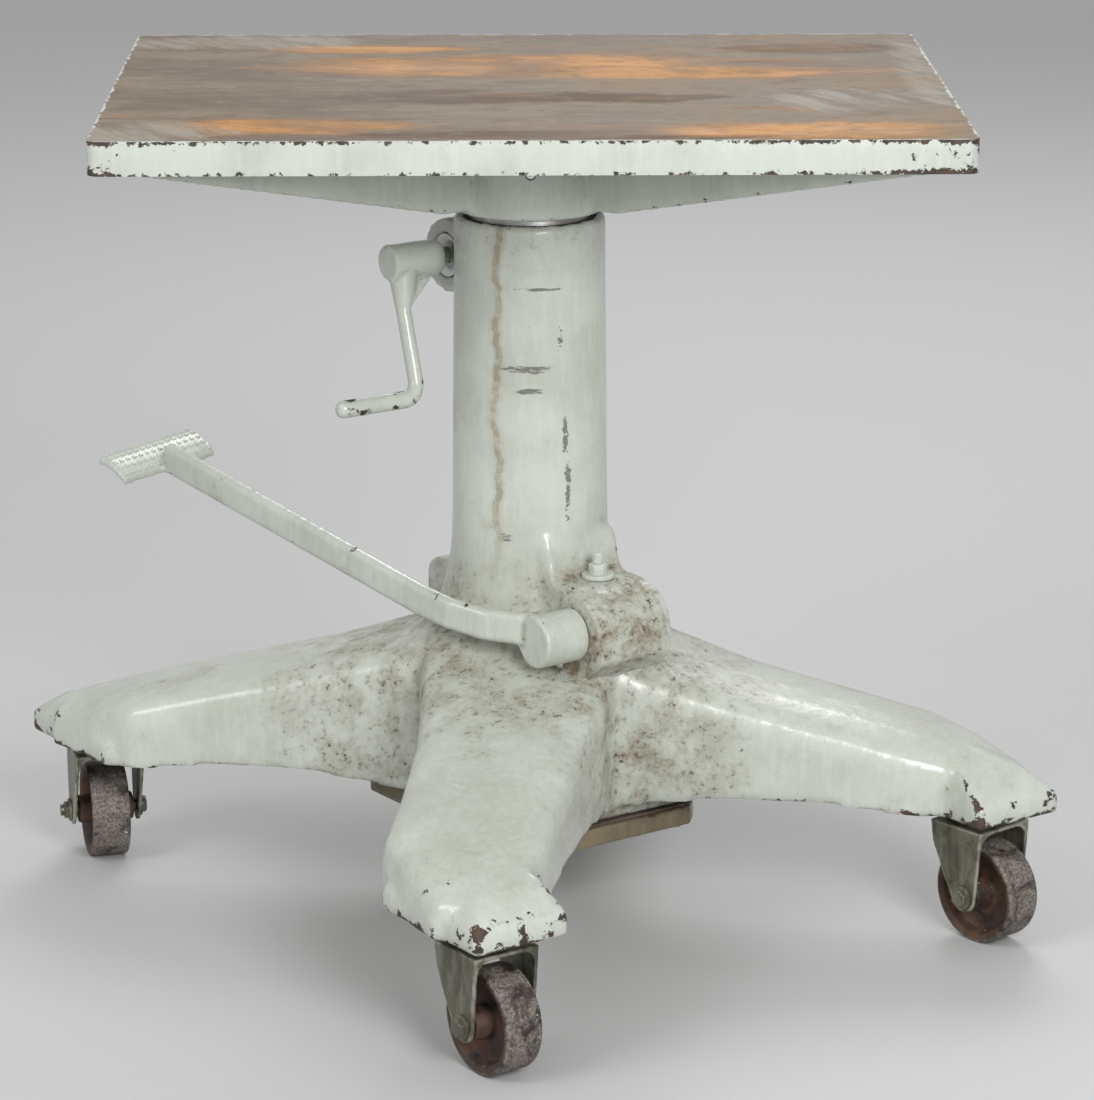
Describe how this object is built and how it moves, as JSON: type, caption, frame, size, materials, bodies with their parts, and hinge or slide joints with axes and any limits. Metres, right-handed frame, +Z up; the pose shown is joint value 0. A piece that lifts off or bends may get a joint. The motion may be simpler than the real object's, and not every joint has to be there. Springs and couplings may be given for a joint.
{
  "type": "hydraulic elevating table",
  "caption": "Foot-pumped elevating table: cast pedestal with splayed legs on swivel casters, round column, rectangular swivelling iron top, pedal and lock crank.",
  "frame": {"origin": "on the column's axis at floor level, the ram right down", "axes": "+Z up along the ram; +X along the pedal shaft and the lock screw, away from the crank; +Y towards the pedal's tread; the top stands turned 34.4 degrees clockwise from above"},
  "size_m": [1.0236, 0.9788, 0.842],
  "materials": {
    "enamel": "old gloss enamel, brushed on, chipped",
    "worn_top": "bare worn iron, rust stained",
    "wheel_iron": "rusted cast iron",
    "fork_steel": "worn olive grey plate",
    "bright_steel": "turned",
    "cover_paint": "oil stained enamel",
    "bronze": "bored",
    "packing": "oiled",
    "gasket_card": "oiled card"
  },
  "bodies": {
    "pedestal_frame": {"pedestal": "enamel", "sump_cover": "cover_paint", "sump_gasket": "gasket_card", "cover_screw_1": "bright_steel", "cover_screw_2": "bright_steel", "cover_screw_3": "bright_steel", "cover_screw_4": "bright_steel", "block_screw_1": "bright_steel", "block_screw_2": "bright_steel", "block_screw_3": "bright_steel", "block_screw_4": "bright_steel", "pump_block": "wheel_iron", "hydraulic_cylinder": "bright_steel", "cylinder_head": "bronze", "guide_bush": "bronze", "wiper_ring": "packing", "pump_barrel": "bright_steel", "return_spring": "bright_steel", "shaft_bush_1": "bronze", "shaft_bush_2": "bronze", "stop_washer": "enamel", "stop_nut": "enamel", "stop_stud": "enamel", "filler_plug": "bright_steel", "cotter_near": "bright_steel", "caster_1_stem": "fork_steel", "caster_2_stem": "fork_steel", "caster_3_stem": "fork_steel", "caster_4_stem": "fork_steel"},
    "ram": {"ram": "bright_steel", "piston_rod": "bright_steel", "piston": "bright_steel", "piston_seal": "packing"},
    "table": {"tabletop": "worn_top", "table_set_screw": "bright_steel"},
    "pedal": {"pedal_arm": "enamel", "pedal_shaft": "bright_steel", "pedal_set_screw": "bright_steel", "rocker_arm": "wheel_iron"},
    "plunger": {"pump_plunger": "bright_steel"},
    "lock": {"lock_crank": "enamel", "lock_screw": "bright_steel"},
    "cotter": {"cotter_far": "bright_steel"},
    "caster_1_fork": {"caster_1_fork": "fork_steel", "caster_1_axle": "fork_steel", "caster_1_axle_nut": "fork_steel"},
    "caster_1_wheel": {"caster_1_wheel": "wheel_iron"},
    "caster_2_fork": {"caster_2_fork": "fork_steel", "caster_2_axle": "fork_steel", "caster_2_axle_nut": "fork_steel"},
    "caster_2_wheel": {"caster_2_wheel": "wheel_iron"},
    "caster_3_fork": {"caster_3_fork": "fork_steel", "caster_3_axle": "fork_steel", "caster_3_axle_nut": "fork_steel"},
    "caster_3_wheel": {"caster_3_wheel": "wheel_iron"},
    "caster_4_fork": {"caster_4_fork": "fork_steel", "caster_4_axle": "fork_steel", "caster_4_axle_nut": "fork_steel"},
    "caster_4_wheel": {"caster_4_wheel": "wheel_iron"}
  },
  "joints": [
    {"name": "ram_lift", "type": "slide", "parent": "pedestal_frame", "child": "ram", "axis": [0, 0, 1], "range_m": [0, 0.28]},
    {"name": "table_swivel", "type": "hinge", "parent": "ram", "child": "table", "pos_m": [0, 0, 0.8], "axis": [0, 0, 1], "continuous": true},
    {"name": "pedal_press", "type": "hinge", "parent": "pedestal_frame", "child": "pedal", "pos_m": [0, -0.128, 0.317], "axis": [-1, 0, 0], "range_deg": [0, 12], "stiffness_Nm_per_rad": 40, "springref_deg": -34.38},
    {"name": "plunger_stroke", "type": "slide", "parent": "pedestal_frame", "child": "plunger", "axis": [0, 0, -1], "range_m": [0, 0.0075], "deforming": ["return_spring"]},
    {"name": "lock_turn", "type": "hinge", "parent": "pedestal_frame", "child": "lock", "pos_m": [0, 0.077, 0.664], "axis": [1, 0, 0], "range_deg": [0, 90]},
    {"name": "cotter_squeeze", "type": "slide", "parent": "pedestal_frame", "child": "cotter", "axis": [-1, 0, 0], "range_m": [0, 0.0011]},
    {"name": "caster_1_swivel", "type": "hinge", "parent": "pedestal_frame", "child": "caster_1_fork", "pos_m": [-0.299, -0.35, 0.128], "axis": [0, 0, 1], "continuous": true},
    {"name": "caster_1_roll", "type": "hinge", "parent": "caster_1_fork", "child": "caster_1_wheel", "pos_m": [-0.299, -0.367, 0.05056], "axis": [1, 0, 0], "continuous": true},
    {"name": "caster_2_swivel", "type": "hinge", "parent": "pedestal_frame", "child": "caster_2_fork", "pos_m": [0.299, -0.35, 0.128], "axis": [0, 0, 1], "continuous": true},
    {"name": "caster_2_roll", "type": "hinge", "parent": "caster_2_fork", "child": "caster_2_wheel", "pos_m": [0.30078, -0.36691, 0.05056], "axis": [0.9945, 0.1045, 0], "continuous": true},
    {"name": "caster_3_swivel", "type": "hinge", "parent": "pedestal_frame", "child": "caster_3_fork", "pos_m": [-0.299, 0.35, 0.128], "axis": [0, 0, 1], "continuous": true},
    {"name": "caster_3_roll", "type": "hinge", "parent": "caster_3_fork", "child": "caster_3_wheel", "pos_m": [-0.29291, 0.36587, 0.05056], "axis": [-0.9336, 0.3584, 0], "continuous": true},
    {"name": "caster_4_swivel", "type": "hinge", "parent": "pedestal_frame", "child": "caster_4_fork", "pos_m": [0.299, 0.35, 0.128], "axis": [0, 0, 1], "continuous": true},
    {"name": "caster_4_roll", "type": "hinge", "parent": "caster_4_fork", "child": "caster_4_wheel", "pos_m": [0.30195, 0.36674, 0.05056], "axis": [-0.9848, 0.1736, 0], "continuous": true}
  ],
  "couplings": [
    {"joint": "plunger_stroke", "follows": "pedal_press", "m_per_rad": 0.03294},
    {"joint": "cotter_squeeze", "follows": "lock_turn", "m_per_rad": 0.0006366}
  ]
}
